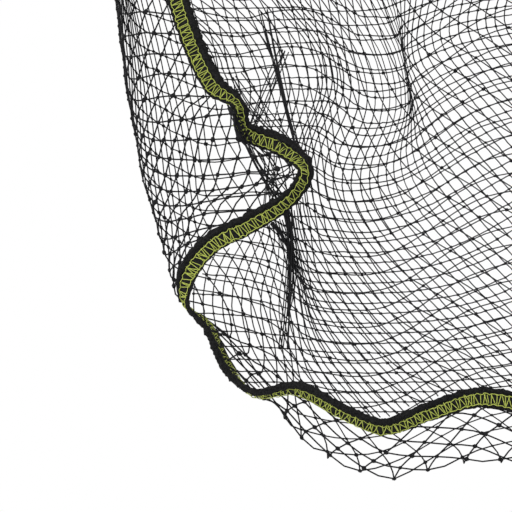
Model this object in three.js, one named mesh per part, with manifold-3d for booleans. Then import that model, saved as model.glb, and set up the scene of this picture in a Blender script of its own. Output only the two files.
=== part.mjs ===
// Landing net head: a plain bent hoop in a moulded head block with a handle stud, and a bag of two nettings
// that hangs from the hoop. All sizes are millimetres. +Z is up, along the handle; the bag's base faces -Y.
// The origin is the centre of the stud's end face, so the whole head hangs below it.

import * as THREE from 'three';
import { mergeVertices } from 'three/addons/utils/BufferGeometryUtils.js';
import Module from 'manifold-3d';

const wasm = await Module();
wasm.setup();

// ---------- driving dimensions ----------

const GAP = 0.3;                       // between pieces that touch

const HOOP = {
  halfWidth: 220,                      // centre line of the tube, across
  halfHeight: 160,
  centreZ: -210,
  squareness: 2.5,                     // 2 is an ellipse, more is squarer
  tubeRadius: 4.5,
  tubeSides: 10,
  tubeSteps: 90,
};

const BLOCK = { width: 60, depth: 24, top: -18.3, bottom: -57.5, corner: 7, bevel: 2.5 };
const HOOP_END_APART = 8;              // half the space between the tube's two ends inside the block

const STUD = { radius: 4.76, collarRadius: 8.5, collarTop: -14, rootEnd: -30, chamfer: 0.8, sides: 24 };

const CLOTH = 1.2;                     // thickness that stands for the netting with its knots
const TAPE = { width: 9, thick: 1.8, edgeThick: 2.4, edgeWidth: 2 };
const CLOTH_FROM_TAPE = TAPE.width / 2 + GAP + CLOTH / 2 + 0.1;

// The bag's top edge passes under the head block, and lies against the tube's lower front side elsewhere.
const UNDER_BLOCK = { dip: 6, flatHalfWidth: 33, freeHalfWidth: 50 };
const HOOP_SIDE = new THREE.Vector3(0, -0.6, -0.8);

// Route of the seam round the base panel, seen from the front: down the left side, along the bottom, up the
// right side and back along the top. roll turns the tape about its route: 0 is flat to the front, 90 is edge on.
const SEAM_ROUTE = table(['x', 'y', 'z', 'roll'], [
  [-180, -60, -350, 0], [-171, -66, -395, 0], [-156, -74, -431, -8], [-144, -78, -441, -60],
  [-141, -83, -453, -50], [-124, -90, -461, -30], [-114, -99, -472, -68], [-121, -106, -485, -38],
  [-138, -107, -496, -14], [-155, -105, -505, 2], [-166, -102, -519, 18], [-167, -97, -532, 66],
  [-157, -96, -542, 84], [-147, -96, -562, 80], [-136, -99, -572, 56], [-117, -100, -570, 54],
  [-95, -101, -581, 48], [-78, -101, -587, 38], [-60, -99, -581, 24], [-35, -97, -574, 8],
  [-8, -97, -579, 6], [20, -98, -587, 10], [48, -98, -581, 20], [78, -98, -572, 25],
  [108, -98, -577, 30], [136, -97, -570, 45], [158, -95, -545, 75], [167, -94, -515, 60],
  [155, -94, -484, 20], [162, -86, -445, 30], [178, -74, -398, 15], [175, -63, -345, 5],
  [150, -55, -306, 0], [95, -52, -288, 0], [30, -54, -295, 0], [-40, -56, -288, 0],
  [-105, -54, -292, 0], [-156, -55, -312, 0],
]);

// Sections of the side band, each from a row of the seam's route to a place on the hoop. deg is the place on
// the hoop (0 right, 90 top), x, y, z is the section's outermost turn, and tuckX, tuckY, tuckZ pull its inner
// turn off the straight line to make the front crease.
const BAND_SECTIONS = table(['row', 'deg', 'x', 'y', 'z', 'tuckX', 'tuckY', 'tuckZ'], [
  [0, 180, -207, -44, -340, 0, 0, 0],
  [1, 184, -200, -56, -395, 0, -4, 0],
  [2, 188, -194, -62, -436, 2, -4, 0],
  [3, 192, -191, -64, -447, 17, -28, -1],
  [4, 196, -189, -66, -457, 20, -30, -3],
  [5, 200, -187, -68, -468, 19, -28, -3],
  [6, 203, -185, -70, -479, 19, -22, -2],
  [7, 206, -183, -71, -490, 4, -15, 0],
  [8, 209, -180, -73, -501, 2, -9, 0],
  [9, 213, -177, -76, -511, 0, -5, 0],
  [10, 217, -174, -79, -521, 0, -2, 0],
  [11, 221, -170, -80, -532, 0, 0, 0],
  [12, 226, -158, -72, -543, 0, 0, 0],
  [13, 231, -144, -72, -564, 0, 0, 0],
  [14, 236, -133, -76, -578, 0, 0, 0],
  [15, 242, -116, -78, -593, 0, 0, -2],
  [17, 252, -79, -80, -611, 0, 0, -4],
  [19, 263, -34, -80, -604, 0, 0, -4],
  [21, 276, 22, -80, -610, 0, 0, -4],
  [23, 289, 80, -80, -601, 0, 0, -4],
  [25, 304, 141, -77, -588, 0, 0, -2],
  [26, 313, 168, -73, -552, 0, 0, 0],
  [27, 321, 182, -71, -516, 0, -3, 0],
  [28, 330, 189, -68, -482, -4, -8, 0],
  [29, 340, 195, -62, -440, -2, -6, 0],
  [30, 350, 202, -54, -394, 0, -4, 0],
  [31, 362, 208, -46, -338, 0, -2, 0],
  [32, 380, 196, -58, -258, 0, -4, 0],
  [33, 405, 128, -62, -198, 0, -6, 0],
  [34, 438, 34, -60, -186, 0, -8, 0],
  [35, 466, -48, -62, -192, 0, -8, 0],
  [36, 498, -130, -60, -202, 0, -6, 0],
  [37, 522, -196, -52, -264, 0, -4, 0],
]);
const REAR_TURN = { along: 0.34, back: 0.8 };    // where a section turns up again behind, as shares of its rise

// Soft ridges (deep < 0, towards the front) and troughs (deep > 0) of the base panel.
const PANEL_FOLDS = table(['x', 'z', 'wide', 'tall', 'deep', 'lean'], [
  [-98, -425, 20, 42, -9, 4],          // left lip of the main trough
  [-60, -428, 15, 52, 16, 4],          // main trough
  [-119, -520, 6, 22, 7, 0],           // gathered pleat below the seam's inward bend
  [-122, -442, 9, 22, -10, -8],        // ridge where the panel turns back to the seam
  [-146, -527, 14, 16, -4, 0],         // puff in the lower left pocket
  [30, -425, 34, 70, -10, -6],
  [88, -450, 15, 60, 10, -4],
  [128, -505, 14, 34, -5, 10],
  [-10, -540, 44, 24, -5, 0],
  [-20, -345, 60, 24, 6, 0],
]);
const PANEL_CENTRE = { x: 0, y: -84, z: -480, slope: 0.148 };   // slope: y for each mm down
const PANEL_RINGS = [0.12, 0.27, 0.42, 0.57, 0.72, 0.87, 1];

const STATION_STEP = 12.5;             // facets along the seam are about this long
const BAND_ROWS = 11;

// ---------- small helpers ----------

function table(names, rows) {
  return rows.map((row) => Object.fromEntries(names.map((name, i) => [name, row[i]])));
}

function lerp(a, b, t) {
  return a + (b - a) * t;
}

// Cubic between two values with a slope at each, over a step of the given length.
function hermite(a, b, slopeA, slopeB, step, t) {
  const t2 = t * t;
  const t3 = t2 * t;
  return (2 * t3 - 3 * t2 + 1) * a + (t3 - 2 * t2 + t) * step * slopeA
    + (3 * t2 - 2 * t3) * b + (t3 - t2) * step * slopeB;
}

// One smooth trip round a closed list of rows: every column is a cubic through its values at the knots.
// growth is what a column gains in a whole trip, such as 360 for an angle.
function roundTrip(rows, knots, period, names, growth, at) {
  const count = rows.length;
  const turns = Math.floor((at - knots[0]) / period);
  const place = at - turns * period;
  const knot = (i) => knots[((i % count) + count) % count] + Math.floor(i / count) * period;
  const gained = (name, i) => Math.floor(i / count) * (growth[name] ?? 0);
  const value = (name, i) => rows[((i % count) + count) % count][name] + gained(name, i);
  const slope = (name, i) => (value(name, i + 1) - value(name, i - 1)) / (knot(i + 1) - knot(i - 1));
  let i = 0;
  while (i < count - 1 && knot(i + 1) <= place) i += 1;
  const step = knot(i + 1) - knot(i);
  const t = (place - knot(i)) / step;
  const result = {};
  for (const name of names) {
    const smooth = hermite(value(name, i), value(name, i + 1), slope(name, i), slope(name, i + 1), step, t);
    result[name] = smooth + turns * (growth[name] ?? 0);
  }
  return result;
}

// A closed geometry from points and triangles, turned so that its faces point out.
function closedGeometry(points, triangles) {
  let volume = 0;
  for (const [a, b, c] of triangles) {
    volume += points[a].dot(new THREE.Vector3().crossVectors(points[b], points[c]));
  }
  const facing = volume < 0 ? triangles.map(([a, b, c]) => [a, c, b]) : triangles;
  const geometry = new THREE.BufferGeometry();
  geometry.setAttribute('position', new THREE.Float32BufferAttribute(points.flatMap((p) => p.toArray()), 3));
  geometry.setIndex(facing.flat());
  geometry.computeVertexNormals();
  return geometry;
}

// A sheet of even thickness about a middle surface: two copies moved along its normals, joined round its rims.
function thickened(points, triangles, thickness) {
  const normals = points.map(() => new THREE.Vector3());
  const edges = new Set();
  for (const [a, b, c] of triangles) {
    const ab = new THREE.Vector3().subVectors(points[b], points[a]);
    const ac = new THREE.Vector3().subVectors(points[c], points[a]);
    const face = ab.cross(ac);
    for (const corner of [a, b, c]) normals[corner].add(face);
    for (const [from, to] of [[a, b], [b, c], [c, a]]) edges.add(`${from} ${to}`);
  }
  const count = points.length;
  for (const normal of normals) normal.normalize();
  const offset = (distance) => points.map((p, i) => p.clone().addScaledVector(normals[i], distance));
  const shell = triangles.flatMap(([a, b, c]) => [[a, b, c], [a + count, c + count, b + count]]);
  for (const edge of edges) {
    const [a, b] = edge.split(' ').map(Number);
    if (!edges.has(`${b} ${a}`)) shell.push([b, a, a + count], [b, a + count, b + count]);
  }
  return closedGeometry([...offset(thickness / 2), ...offset(-thickness / 2)], shell);
}

// Triangles of a grid whose columns close into a ring; rows may close too.
function ringGrid(rows, columns, rowsClose = false) {
  const triangles = [];
  for (let r = 0; r < rows - (rowsClose ? 0 : 1); r += 1) {
    for (let c = 0; c < columns; c += 1) {
      const next = (c + 1) % columns;
      const up = ((r + 1) % rows) * columns;
      const here = r * columns;
      triangles.push([here + c, here + next, up + next], [here + c, up + next, up + c]);
    }
  }
  return triangles;
}

function toManifold(geometry) {
  const bare = geometry.clone();
  bare.deleteAttribute('normal');
  bare.deleteAttribute('uv');
  const merged = mergeVertices(bare, 1e-4);
  return new wasm.Manifold(new wasm.Mesh({
    numProp: 3,
    vertProperties: new Float32Array(merged.attributes.position.array),
    triVerts: new Uint32Array(merged.index.array),
  }));
}

function fromManifold(solid) {
  const mesh = solid.getMesh();
  const geometry = new THREE.BufferGeometry();
  geometry.setAttribute('position', new THREE.BufferAttribute(mesh.vertProperties, 3));
  geometry.setIndex(new THREE.BufferAttribute(mesh.triVerts, 1));
  geometry.computeVertexNormals();
  return geometry;
}

// ---------- hoop and seam as curves ----------

function hoopPoint(deg) {
  const angle = THREE.MathUtils.degToRad(deg);
  const power = 2 / HOOP.squareness;
  const across = Math.sign(Math.cos(angle)) * Math.abs(Math.cos(angle)) ** power;
  const up = Math.sign(Math.sin(angle)) * Math.abs(Math.sin(angle)) ** power;
  return new THREE.Vector3(HOOP.halfWidth * across, 0, HOOP.centreZ + HOOP.halfHeight * up);
}

const SEAM_KNOTS = [0];
SEAM_ROUTE.forEach((row, i) => {
  const next = SEAM_ROUTE[(i + 1) % SEAM_ROUTE.length];
  SEAM_KNOTS.push(SEAM_KNOTS[i] + Math.hypot(next.x - row.x, next.y - row.y, next.z - row.z));
});
const SEAM_LENGTH = SEAM_KNOTS.pop();

function seamRow(length) {
  return roundTrip(SEAM_ROUTE, SEAM_KNOTS, SEAM_LENGTH, ['x', 'y', 'z', 'roll'], {}, length);
}

// Places along the seam where the tape, the panel and the band all have a row of points.
const STATIONS = SEAM_ROUTE.flatMap((_, i) => {
  const end = SEAM_KNOTS[i + 1] ?? SEAM_LENGTH;
  const count = Math.max(1, Math.round((end - SEAM_KNOTS[i]) / STATION_STEP));
  return Array.from({ length: count }, (__, k) => lerp(SEAM_KNOTS[i], end, k / count));
});

function seamPoint(length) {
  const row = seamRow(length);
  return new THREE.Vector3(row.x, row.y, row.z);
}

// The tape's own directions at a place on its route: along it, across it towards the side band, and out of it.
function tapeFrame(length) {
  const reach = 0.5;
  const along = seamPoint(length + reach).sub(seamPoint(length - reach)).normalize();
  const back = new THREE.Vector3(0, 1, 0);
  const outward = new THREE.Vector3().crossVectors(back, along).normalize();
  const roll = THREE.MathUtils.degToRad(seamRow(length).roll);
  const lift = back.clone().addScaledVector(along, -along.y).normalize();
  const across = outward.multiplyScalar(Math.cos(roll)).addScaledVector(lift, Math.sin(roll)).normalize();
  const normal = new THREE.Vector3().crossVectors(across, along).normalize();
  return { centre: seamPoint(length), across, normal };
}

function offTape(length, distance) {
  const frame = tapeFrame(length);
  return frame.centre.addScaledVector(frame.across, distance);
}

// ---------- hoop, head block and stud ----------

class HoopRoute extends THREE.Curve {
  constructor(endApart) {
    super();
    this.gapDeg = THREE.MathUtils.radToDeg(Math.asin((endApart / HOOP.halfWidth) ** (HOOP.squareness / 2)));
  }

  getPoint(t, target = new THREE.Vector3()) {
    return target.copy(hoopPoint(lerp(90 + this.gapDeg, 450 - this.gapDeg, t)));
  }
}

function tubeAlong(curve, radius, steps, sides) {
  const section = new THREE.Shape();
  for (let i = 0; i < sides; i += 1) {
    const angle = (2 * Math.PI * i) / sides;
    const [x, y] = [radius * Math.cos(angle), radius * Math.sin(angle)];
    if (i === 0) section.moveTo(x, y);
    else section.lineTo(x, y);
  }
  return new THREE.ExtrudeGeometry(section, { steps, extrudePath: curve, bevelEnabled: false });
}

function hoopTube() {
  return tubeAlong(new HoopRoute(HOOP_END_APART), HOOP.tubeRadius, HOOP.tubeSteps, HOOP.tubeSides);
}

function blockOutline() {
  const half = BLOCK.width / 2 - BLOCK.bevel;
  const [low, high] = [BLOCK.bottom + BLOCK.bevel, BLOCK.top - BLOCK.bevel];
  const shape = new THREE.Shape();
  const shoulder = 5;                  // the block narrows above the tube, towards the stud
  const neck = STUD.collarRadius + 4;
  const shoulderZ = HOOP.centreZ + HOOP.halfHeight + HOOP.tubeRadius + 4;
  shape.moveTo(0, low);
  shape.lineTo(half - BLOCK.corner, low);
  shape.quadraticCurveTo(half, low, half, low + BLOCK.corner);
  shape.lineTo(half, shoulderZ - shoulder);
  shape.quadraticCurveTo(half, shoulderZ, half - shoulder, shoulderZ + 1);
  shape.quadraticCurveTo(neck, shoulderZ + 4, neck - 1, high - 4);
  shape.quadraticCurveTo(neck - 1, high, neck - 5, high);
  shape.lineTo(-neck + 5, high);
  shape.quadraticCurveTo(-neck + 1, high, -neck + 1, high - 4);
  shape.quadraticCurveTo(-neck, shoulderZ + 4, -half + shoulder, shoulderZ + 1);
  shape.quadraticCurveTo(-half, shoulderZ, -half, shoulderZ - shoulder);
  shape.lineTo(-half, low + BLOCK.corner);
  shape.quadraticCurveTo(-half, low, -half + BLOCK.corner, low);
  return shape;
}

function headBlock() {
  const body = new THREE.ExtrudeGeometry(blockOutline(), {
    depth: BLOCK.depth - 2 * BLOCK.bevel,
    bevelThickness: BLOCK.bevel,
    bevelSize: BLOCK.bevel,
    bevelSegments: 3,
    curveSegments: 5,
  });
  body.translate(0, 0, -BLOCK.depth / 2 + BLOCK.bevel);
  body.rotateX(Math.PI / 2);
  const boreRoute = new HoopRoute(HOOP_END_APART - 2 * GAP);
  const bore = tubeAlong(boreRoute, HOOP.tubeRadius + GAP, HOOP.tubeSteps, 2 * HOOP.tubeSides);
  const socketTop = BLOCK.top + 1;
  const socketDepth = socketTop - STUD.rootEnd + GAP;
  const socket = new THREE.CylinderGeometry(STUD.radius + GAP, STUD.radius + GAP, socketDepth, STUD.sides);
  socket.rotateX(Math.PI / 2);
  socket.translate(0, 0, socketTop - socketDepth / 2);
  return fromManifold(toManifold(body).subtract(toManifold(bore)).subtract(toManifold(socket)));
}

function handleStud() {
  const profile = [
    [0, STUD.rootEnd], [STUD.radius, STUD.rootEnd], [STUD.radius, BLOCK.top + GAP],
    [STUD.collarRadius, BLOCK.top + GAP], [STUD.collarRadius, STUD.collarTop],
    [STUD.radius, STUD.collarTop], [STUD.radius, -STUD.chamfer], [STUD.radius - STUD.chamfer, 0], [0, 0],
  ];
  const stud = new THREE.LatheGeometry(profile.map(([r, z]) => new THREE.Vector2(r, z)), STUD.sides);
  stud.rotateX(Math.PI / 2);
  return stud;
}

// ---------- the bag ----------

// The tape: a flat strip with slightly thicker edges, carried round the seam's route.
function seamBinding() {
  const [half, thin, thick] = [TAPE.width / 2, TAPE.thick / 2, TAPE.edgeThick / 2];
  const edge = half - TAPE.edgeWidth / 2;
  const section = [
    [-half, 0], [-edge, thick], [0, thin], [edge, thick], [half, 0], [edge, -thick], [0, -thin], [-edge, -thick],
  ];
  const points = [];
  for (const place of STATIONS) {
    const frame = tapeFrame(place);
    for (const [across, out] of section) {
      points.push(frame.centre.clone().addScaledVector(frame.across, across).addScaledVector(frame.normal, out));
    }
  }
  return closedGeometry(points, ringGrid(STATIONS.length, section.length, true));
}

function foldDepth(x, z) {
  let depth = 0;
  for (const fold of PANEL_FOLDS) {
    const lean = THREE.MathUtils.degToRad(fold.lean);
    const [dx, dz] = [x - fold.x, z - fold.z];
    const across = (dx * Math.cos(lean) + dz * Math.sin(lean)) / fold.wide;
    const down = (dz * Math.cos(lean) - dx * Math.sin(lean)) / fold.tall;
    depth += fold.deep * Math.exp(-across * across - down * down);
  }
  return depth;
}

// A point of the base panel: ring 0 is its centre and ring 1 its edge at the tape. Its depth goes from a
// gently sloped middle to the edge's own depth, with the folds dying out at the edge.
function panelPoint(ring, length) {
  const edge = offTape(length, -CLOTH_FROM_TAPE);
  const x = lerp(PANEL_CENTRE.x, edge.x, ring);
  const z = lerp(PANEL_CENTRE.z, edge.z, ring);
  const middle = PANEL_CENTRE.y + (z - PANEL_CENTRE.z) * PANEL_CENTRE.slope;
  const y = lerp(middle, edge.y, ring ** 3) + foldDepth(x, z) * (1 - ring ** 8);
  return new THREE.Vector3(x, y, z);
}

function basePanel() {
  const points = [];
  for (const ring of PANEL_RINGS) points.push(...STATIONS.map((place) => panelPoint(ring, place)));
  const triangles = ringGrid(PANEL_RINGS.length, STATIONS.length);
  const centre = points.length;
  points.push(panelPoint(0, 0));
  STATIONS.forEach((_, i) => triangles.push([centre, (i + 1) % STATIONS.length, i]));
  return thickened(points, triangles, CLOTH);
}

// Where the band's top edge lies at a place on the hoop.
function hoopEdge(deg) {
  const reach = 0.5;
  const along = hoopPoint(deg + reach).sub(hoopPoint(deg - reach)).normalize();
  const side = HOOP_SIDE.clone().addScaledVector(along, -HOOP_SIDE.dot(along)).normalize();
  const edge = hoopPoint(deg).addScaledVector(side, HOOP.tubeRadius + GAP + CLOTH / 2);
  const free = THREE.MathUtils.smoothstep(Math.abs(edge.x), UNDER_BLOCK.flatHalfWidth, UNDER_BLOCK.freeHalfWidth);
  if (edge.z > HOOP.centreZ) edge.z -= UNDER_BLOCK.dip * (1 - free);
  return edge;
}

const BAND_KNOTS = BAND_SECTIONS.map((section) => SEAM_KNOTS[section.row]);

// Five points that a section of the side band runs through, from its place on the tape to the hoop.
function bandSection(place) {
  const names = ['deg', 'x', 'y', 'z', 'tuckX', 'tuckY', 'tuckZ'];
  const here = roundTrip(BAND_SECTIONS, BAND_KNOTS, SEAM_LENGTH, names, { deg: 360 }, place);
  const start = offTape(place, CLOTH_FROM_TAPE);
  const end = hoopEdge(here.deg);
  const outer = new THREE.Vector3(here.x, here.y, here.z);
  const inner = start.clone().lerp(outer, 0.5).add(new THREE.Vector3(here.tuckX, here.tuckY, here.tuckZ));
  const rear = new THREE.Vector3(
    lerp(outer.x, end.x, REAR_TURN.along),
    lerp(outer.y, end.y, REAR_TURN.back),
    lerp(outer.z, end.z, REAR_TURN.along),
  );
  return [start, inner, outer, rear, end];
}

// A smooth curve through a few points, at a share of its length by straight steps.
function through(points, share) {
  const knots = [0];
  for (let i = 1; i < points.length; i += 1) knots.push(knots[i - 1] + points[i].distanceTo(points[i - 1]));
  const last = points.length - 1;
  const at = share * knots[last];
  const inside = (i) => points[i + 1].clone().sub(points[i - 1]).divideScalar(knots[i + 1] - knots[i - 1]);
  const chord = (i) => points[i + 1].clone().sub(points[i]).divideScalar(knots[i + 1] - knots[i]);
  const slope = (i) => {
    if (i === 0) return chord(0);
    if (i === last) return chord(last - 1);
    return inside(i);
  };
  let i = 0;
  while (i < last - 1 && knots[i + 1] <= at) i += 1;
  const step = knots[i + 1] - knots[i];
  const t = (at - knots[i]) / step;
  const [from, to] = [slope(i), slope(i + 1)];
  const axis = (name) => hermite(points[i][name], points[i + 1][name], from[name], to[name], step, t);
  return new THREE.Vector3(axis('x'), axis('y'), axis('z'));
}

function sideBand() {
  const sections = STATIONS.map(bandSection);
  const points = [];
  for (let row = 0; row <= BAND_ROWS; row += 1) {
    for (const section of sections) points.push(through(section, row / BAND_ROWS));
  }
  return thickened(points, ringGrid(BAND_ROWS + 1, STATIONS.length), CLOTH);
}

// ---------- the assembled head ----------

const finishes = {
  hoopPaint: { color: 0x1b1d1e, roughness: 0.45, metalness: 0.5 },
  blockPlastic: { color: 0x17181a, roughness: 0.55, metalness: 0 },
  studMetal: { color: 0xb9bcbe, roughness: 0.3, metalness: 1 },
  netting: { color: 0x101113, roughness: 0.8, metalness: 0 },
  tape: { color: 0x9aa834, roughness: 0.85, metalness: 0 },
};

const landingNetHead = new THREE.Group();

function add(name, geometry, finish) {
  const mesh = new THREE.Mesh(geometry, new THREE.MeshStandardMaterial(finish));
  mesh.name = name;
  landingNetHead.add(mesh);
}

add('hoop', hoopTube(), finishes.hoopPaint);
add('head_block', headBlock(), finishes.blockPlastic);
add('handle_stud', handleStud(), finishes.studMetal);
add('side_band', sideBand(), finishes.netting);
add('base_panel', basePanel(), finishes.netting);
add('seam_binding', seamBinding(), finishes.tape);

export default landingNetHead;
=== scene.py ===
# %% [markdown]
# # A landing net head
#
# A landing net head is a bent tube hoop with a bag of knotted netting. Two nettings make the bag: a coarse
# side band and a fine base panel. A binding tape, oversewn with lime thread, joins them. This script gives
# the plain solids of the frame their real look: every strand, every knot and every stitch.

# %% The frame
import math

import bpy
import numpy as np
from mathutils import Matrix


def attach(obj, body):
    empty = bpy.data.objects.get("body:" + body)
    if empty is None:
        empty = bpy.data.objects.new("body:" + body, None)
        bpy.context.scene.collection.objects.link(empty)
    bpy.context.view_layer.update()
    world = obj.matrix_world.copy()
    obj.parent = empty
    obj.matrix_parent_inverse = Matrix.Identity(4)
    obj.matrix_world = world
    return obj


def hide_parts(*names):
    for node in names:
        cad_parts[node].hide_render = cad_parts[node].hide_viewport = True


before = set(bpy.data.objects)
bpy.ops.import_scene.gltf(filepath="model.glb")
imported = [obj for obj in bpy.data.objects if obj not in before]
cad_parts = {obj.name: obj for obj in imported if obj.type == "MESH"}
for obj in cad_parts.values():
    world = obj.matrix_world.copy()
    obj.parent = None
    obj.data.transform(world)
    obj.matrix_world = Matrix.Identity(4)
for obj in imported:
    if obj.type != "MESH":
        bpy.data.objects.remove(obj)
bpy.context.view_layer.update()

MM = 0.001
print("frame", sorted(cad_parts))

# %% [markdown]
# The camera looks level at the left part of the bag's base, from a little under a metre, through a long
# lens. The head hangs from its handle stud, so the origin is at the very top and the bag is far below it.

# %% Camera
LENS_WIDTH = 36.0
VIEW_HEIGHT = -510.2
VIEW_ACROSS = -135.5
VIEW_DISTANCE = 945.0
SEEN_WIDTH_AT_SEAM = 230.4
SEAM_DISTANCE = 850.0

camera_data = bpy.data.cameras.new("camera")
camera = bpy.data.objects.new("camera", camera_data)
bpy.context.scene.collection.objects.link(camera)
camera_data.sensor_width = LENS_WIDTH
camera_data.lens = LENS_WIDTH * SEAM_DISTANCE / SEEN_WIDTH_AT_SEAM
camera.location = (VIEW_ACROSS * MM, -VIEW_DISTANCE * MM, VIEW_HEIGHT * MM)
camera.rotation_euler = (math.pi / 2, 0, 0)
bpy.context.scene.camera = camera
print("lens", round(camera_data.lens, 1))

# %% [markdown]
# Everything on the bag hangs on two closed curves: the hoop and the seam. The hoop is a formula. The seam
# is a short table of places with a smooth closed cubic through it. Much the same numbers shape the frame's
# solids.

# %% Smooth trips round a closed table
TINY = 1e-12


def closed_curve(knots, period, rows, at, gain=None):
    """Cubic through closed rows: p = h00 a + h10 m + h01 b + h11 n between two knots, with slopes by
    central differences. gain is what each column grows by in one whole trip."""
    rows = np.asarray(rows, float)
    gain = np.zeros(rows.shape[1]) if gain is None else np.asarray(gain, float)
    count = len(rows)
    around = np.concatenate([[knots[-1] - period], knots, [knots[0] + period, knots[1] + period]])
    values = np.vstack([rows[-1] - gain, rows, rows[0] + gain, rows[1] + gain])
    slopes = (values[2:] - values[:-2]) / (around[2:] - around[:-2])[:, None]
    at = np.asarray(at, float)
    turns = np.floor((at - knots[0]) / period)
    place = at - turns * period
    i = np.clip(np.searchsorted(around[1:count + 2], place, side="right") - 1, 0, count - 1)
    step = (around[2 + i] - around[1 + i])[:, None]
    t = ((place - around[1 + i])[:, None]) / step
    return hermite(values[1 + i], values[2 + i], slopes[i], slopes[i + 1], step, t) + turns[:, None] * gain


def hermite(a, b, slope_a, slope_b, step, t):
    """(2t3 - 3t2 + 1) a + (t3 - 2t2 + t) h m + (3t2 - 2t3) b + (t3 - t2) h n, with t from 0 to 1."""
    t2 = t * t
    t3 = t2 * t
    start = (2 * t3 - 3 * t2 + 1) * a + (t3 - 2 * t2 + t) * step * slope_a
    return start + (3 * t2 - 2 * t3) * b + (t3 - t2) * step * slope_b


def unit(vectors):
    """Each vector divided by its length."""
    return vectors / np.maximum(np.linalg.norm(vectors, axis=-1, keepdims=True), TINY)


# %% The hoop's line
HOOP_HALF_WIDTH = 220.0
HOOP_HALF_HEIGHT = 160.0
HOOP_CENTRE_Z = -210.0
HOOP_SQUARENESS = 2.5
HOOP_RADIUS = 4.5
GAP = 0.3
CLOTH = 1.2
EDGE_OUT = HOOP_RADIUS + GAP + CLOTH / 2
EDGE_SIDE = np.array([0.0, -0.6, -0.8])


def hoop_line(deg):
    """Superellipse: x = a sign(cos) |cos|^(2/n), z = c + b sign(sin) |sin|^(2/n), y = 0."""
    angle = np.radians(deg)
    power = 2 / HOOP_SQUARENESS
    x = HOOP_HALF_WIDTH * np.sign(np.cos(angle)) * np.abs(np.cos(angle)) ** power
    z = HOOP_CENTRE_Z + HOOP_HALF_HEIGHT * np.sign(np.sin(angle)) * np.abs(np.sin(angle)) ** power
    return np.stack([x, np.zeros_like(x), z], axis=-1)


def hoop_along(deg):
    """Direction of the hoop's line, from two places a degree apart."""
    return unit(hoop_line(deg + 0.5) - hoop_line(deg - 0.5))


def edge_side(deg):
    """Direction from the hoop's line to the band's edge: down and to the front, square to the line."""
    along = hoop_along(deg)
    return unit(EDGE_SIDE - along * (along @ EDGE_SIDE)[:, None])


# %% The seam's line
# x, y, z and the tape's roll: 0 lies flat to the front, 90 is edge on.
SEAM_ROUTE = np.array([
    (-180, -60, -350, 0), (-171, -66, -395, 0), (-156, -74, -431, -8), (-144, -78, -441, -60),
    (-141, -83, -453, -34), (-124, -90, -461, -16), (-114, -99, -472, -44), (-121, -106, -485, -42),
    (-138, -107, -496, -14), (-155, -105, -505, 2), (-166, -102, -519, 18), (-167, -97, -532, 80),
    (-157, -96, -542, 106), (-147, -96, -562, 108), (-136, -99, -572, 74), (-117, -100, -570, 54),
    (-95, -101, -581, 48), (-78, -101, -587, 38), (-60, -99, -581, 24), (-35, -97, -574, 8),
    (-8, -97, -579, 6), (20, -98, -587, 10), (48, -98, -581, 20), (78, -98, -572, 25),
    (108, -98, -577, 30), (136, -97, -570, 45), (158, -95, -545, 75), (167, -94, -515, 60),
    (155, -94, -484, 20), (162, -86, -445, 30), (178, -74, -398, 15), (175, -63, -345, 5),
    (150, -55, -306, 0), (95, -52, -288, 0), (30, -54, -295, 0), (-40, -56, -288, 0),
    (-105, -54, -292, 0), (-156, -55, -312, 0),
], float)
SEAM_STEPS = np.linalg.norm(np.diff(np.vstack([SEAM_ROUTE, SEAM_ROUTE[:1]])[:, :3], axis=0), axis=1)
SEAM_KNOTS = np.concatenate([[0], np.cumsum(SEAM_STEPS)[:-1]])
SEAM_LENGTH = SEAM_STEPS.sum()


def seam_rows(length):
    """x, y, z and roll at places along the seam."""
    return closed_curve(SEAM_KNOTS, SEAM_LENGTH, SEAM_ROUTE, length)


def tape_frame(length):
    """Centre, along, across (towards the side band) and normal of the tape. across = outward cos r + lift
    sin r, where outward is square to the route in the front view and lift is to the back."""
    rows = seam_rows(length)
    along = unit(seam_rows(length + 0.5)[:, :3] - seam_rows(length - 0.5)[:, :3])
    back = np.array([0.0, 1.0, 0.0])
    outward = unit(np.cross(back, along))
    lift = unit(back - along * along[:, 1:2])
    roll = np.radians(rows[:, 3:4])
    across = unit(outward * np.cos(roll) + lift * np.sin(roll))
    return rows[:, :3], along, across, unit(np.cross(across, along))


print("seam length", round(SEAM_LENGTH), "mm")

# %% [markdown]
# The side band is one surface: sections run from the tape, round the bag's outermost turn, to the hoop.
# Each section is a cubic through five points, and a table places the outermost turn and the tuck in front
# of it. The crease on the left comes from the tuck. One surface is used because all strands and knots can
# then be placed by two numbers: the mesh round the band, and the place along the section.

# %% Side band as a surface
CLOTH_FROM_TAPE = 3.9
UNDER_BLOCK_DIP = 6.0
UNDER_BLOCK_FLAT = 33.0
UNDER_BLOCK_FREE = 50.0
REAR_TURN = np.array([0.34, 0.8, 0.34])
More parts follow.
